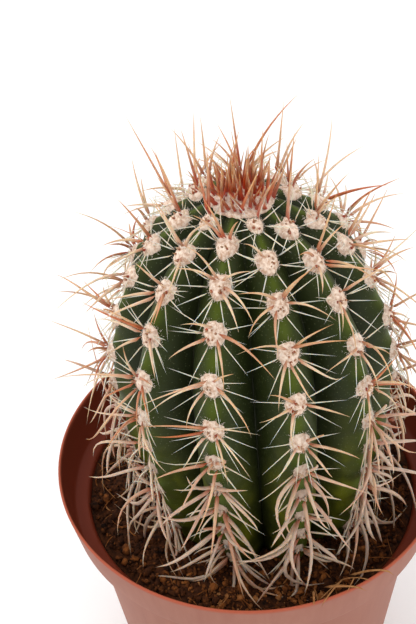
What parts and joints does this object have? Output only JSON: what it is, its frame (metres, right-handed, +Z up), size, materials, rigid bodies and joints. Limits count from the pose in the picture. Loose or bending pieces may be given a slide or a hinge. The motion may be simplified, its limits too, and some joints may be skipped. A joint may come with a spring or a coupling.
{
  "type": "potted column cactus",
  "caption": "Young ribbed column cactus with woolly areoles and stout spines, rooted in soil in a thin round nursery pot with a stepped collar.",
  "frame": {"origin": "centre of the pot's flat underside", "axes": "+Z up, along the pot's axis; -Y towards the viewer; +X to the viewer's right"},
  "size_m": [0.12, 0.1208, 0.2233],
  "materials": {
    "pot_plastic": "satin moulded polypropylene",
    "potting_soil": "loose crumbly peat and coir",
    "green_skin": "waxy skin with fine pale specks",
    "wool_and_spines": "felted wool and dry satin spines"
  },
  "bodies": {
    "root": {"crown": "wool_and_spines", "pot": "pot_plastic", "soil": "potting_soil", "spine_cluster_r01_1": "wool_and_spines", "spine_cluster_r01_2": "wool_and_spines", "spine_cluster_r01_3": "wool_and_spines", "spine_cluster_r01_4": "wool_and_spines", "spine_cluster_r02_1": "wool_and_spines", "spine_cluster_r02_2": "wool_and_spines", "spine_cluster_r02_3": "wool_and_spines", "spine_cluster_r02_4": "wool_and_spines", "spine_cluster_r03_1": "wool_and_spines", "spine_cluster_r03_2": "wool_and_spines", "spine_cluster_r03_3": "wool_and_spines", "spine_cluster_r03_4": "wool_and_spines", "spine_cluster_r04_1": "wool_and_spines", "spine_cluster_r04_2": "wool_and_spines", "spine_cluster_r04_3": "wool_and_spines", "spine_cluster_r04_4": "wool_and_spines", "spine_cluster_r05_1": "wool_and_spines", "spine_cluster_r05_2": "wool_and_spines", "spine_cluster_r05_3": "wool_and_spines", "spine_cluster_r05_4": "wool_and_spines", "spine_cluster_r06_1": "wool_and_spines", "spine_cluster_r06_2": "wool_and_spines", "spine_cluster_r06_3": "wool_and_spines", "spine_cluster_r06_4": "wool_and_spines", "spine_cluster_r07_1": "wool_and_spines", "spine_cluster_r07_2": "wool_and_spines", "spine_cluster_r07_3": "wool_and_spines", "spine_cluster_r07_4": "wool_and_spines", "spine_cluster_r08_1": "wool_and_spines", "spine_cluster_r08_2": "wool_and_spines", "spine_cluster_r08_3": "wool_and_spines", "spine_cluster_r08_4": "wool_and_spines", "spine_cluster_r09_1": "wool_and_spines", "spine_cluster_r09_2": "wool_and_spines", "spine_cluster_r09_3": "wool_and_spines", "spine_cluster_r09_4": "wool_and_spines", "spine_cluster_r10_1": "wool_and_spines", "spine_cluster_r10_2": "wool_and_spines", "spine_cluster_r10_3": "wool_and_spines", "spine_cluster_r10_4": "wool_and_spines", "spine_cluster_r11_1": "wool_and_spines", "spine_cluster_r11_2": "wool_and_spines", "spine_cluster_r11_3": "wool_and_spines", "spine_cluster_r11_4": "wool_and_spines", "spine_fringe_r01": "wool_and_spines", "spine_fringe_r02": "wool_and_spines", "spine_fringe_r03": "wool_and_spines", "spine_fringe_r04": "wool_and_spines", "spine_fringe_r05": "wool_and_spines", "spine_fringe_r06": "wool_and_spines", "spine_fringe_r07": "wool_and_spines", "spine_fringe_r08": "wool_and_spines", "spine_fringe_r09": "wool_and_spines", "spine_fringe_r10": "wool_and_spines", "spine_fringe_r11": "wool_and_spines", "stem": "green_skin"}
  },
  "joints": []
}
